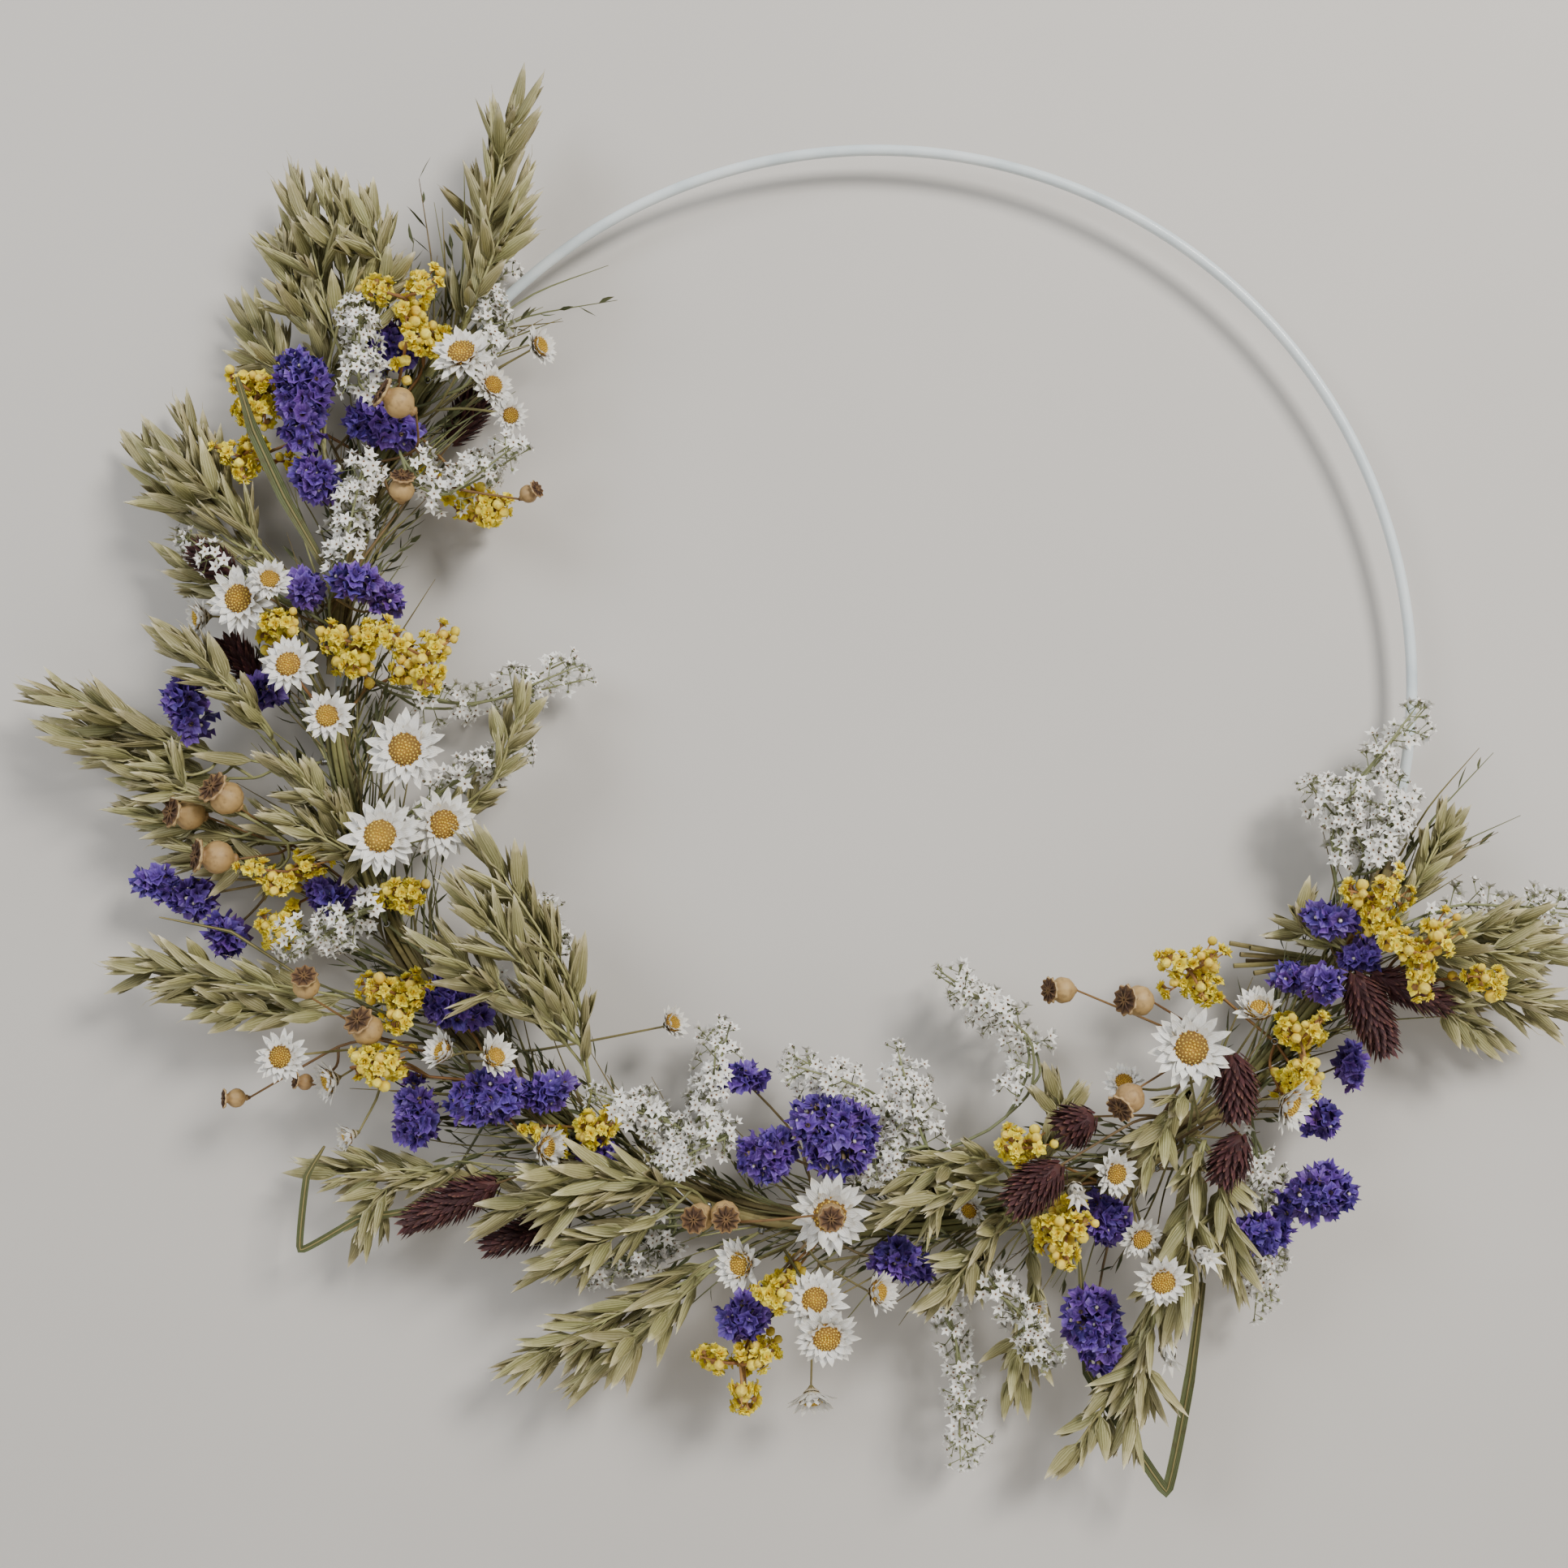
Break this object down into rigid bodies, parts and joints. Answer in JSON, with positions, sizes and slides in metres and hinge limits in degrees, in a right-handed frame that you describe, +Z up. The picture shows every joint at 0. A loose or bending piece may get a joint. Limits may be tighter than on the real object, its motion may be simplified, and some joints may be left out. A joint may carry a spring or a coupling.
{
  "type": "dried flower wreath",
  "caption": "Round wall wreath: a thin white hoop with dried oats, daisies, poppy pods, statice and small yellow blooms bound round its left and lower sides.",
  "frame": {"origin": "the hang point, under the top of the hoop, where a screw or hook carries it", "axes": "+X to the viewer's right, +Y into the wall, +Z up; the flowers face -Y"},
  "size_m": [0.5727, 0.0709, 0.5162],
  "materials": {
    "binding_wire": "thin bright wire",
    "bound_stems": "matt dried stems",
    "canary_grass": "bristly dark heads",
    "daisies": "papery white bracts with golden middles",
    "leaves": "dry olive leaves",
    "oats": "dry papery husks",
    "poppy_pods": "smooth dry pods, faintly speckled",
    "star_sprays": "tiny white stars on grey green twigs",
    "statice": "ruffled papery flowers",
    "white_paint": "satin white paint",
    "yellow_blooms": "ruffled dry blooms"
  },
  "bodies": {
    "root": {"binding_wire": "binding_wire", "bound_stems_bottom": "bound_stems", "bound_stems_left": "bound_stems", "bound_stems_lower_left": "bound_stems", "bound_stems_right": "bound_stems", "bound_stems_top_left": "bound_stems", "canary_grass_left": "canary_grass", "canary_grass_lower_left": "canary_grass", "canary_grass_lower_right": "canary_grass", "canary_grass_right": "canary_grass", "daisies_bottom": "daisies", "daisies_left": "daisies", "daisies_left_upper": "daisies", "daisies_low_left": "daisies", "daisies_lower_right": "daisies", "daisies_right_low": "daisies", "daisies_top": "daisies", "hoop": "white_paint", "leaf_lower_right": "leaves", "leaf_top_left": "leaves", "leaves_lower_left": "leaves", "oats_bottom": "oats", "oats_fan": "oats", "oats_hanging": "oats", "oats_left": "oats", "oats_left_low": "oats", "oats_left_upper": "oats", "oats_lower_left": "oats", "oats_middle": "oats", "oats_right": "oats", "oats_sheaf": "oats", "oats_top": "oats", "oats_top_left": "oats", "pods_bottom": "poppy_pods", "pods_left": "poppy_pods", "pods_low_left": "poppy_pods", "pods_right": "poppy_pods", "pods_top": "poppy_pods", "star_sprays_bottom": "star_sprays", "star_sprays_left": "star_sprays", "star_sprays_left_upper": "star_sprays", "star_sprays_low_left": "star_sprays", "star_sprays_lower_right": "star_sprays", "star_sprays_right": "star_sprays", "star_sprays_top": "star_sprays", "statice_bottom": "statice", "statice_left": "statice", "statice_left_upper": "statice", "statice_low_left": "statice", "statice_lower_right": "statice", "statice_right": "statice", "statice_top_left": "statice", "yellow_blooms_bottom": "yellow_blooms", "yellow_blooms_left": "yellow_blooms", "yellow_blooms_left_low": "yellow_blooms", "yellow_blooms_low_left": "yellow_blooms", "yellow_blooms_lower_right": "yellow_blooms", "yellow_blooms_middle": "yellow_blooms", "yellow_blooms_right": "yellow_blooms", "yellow_blooms_top": "yellow_blooms"}
  },
  "joints": []
}
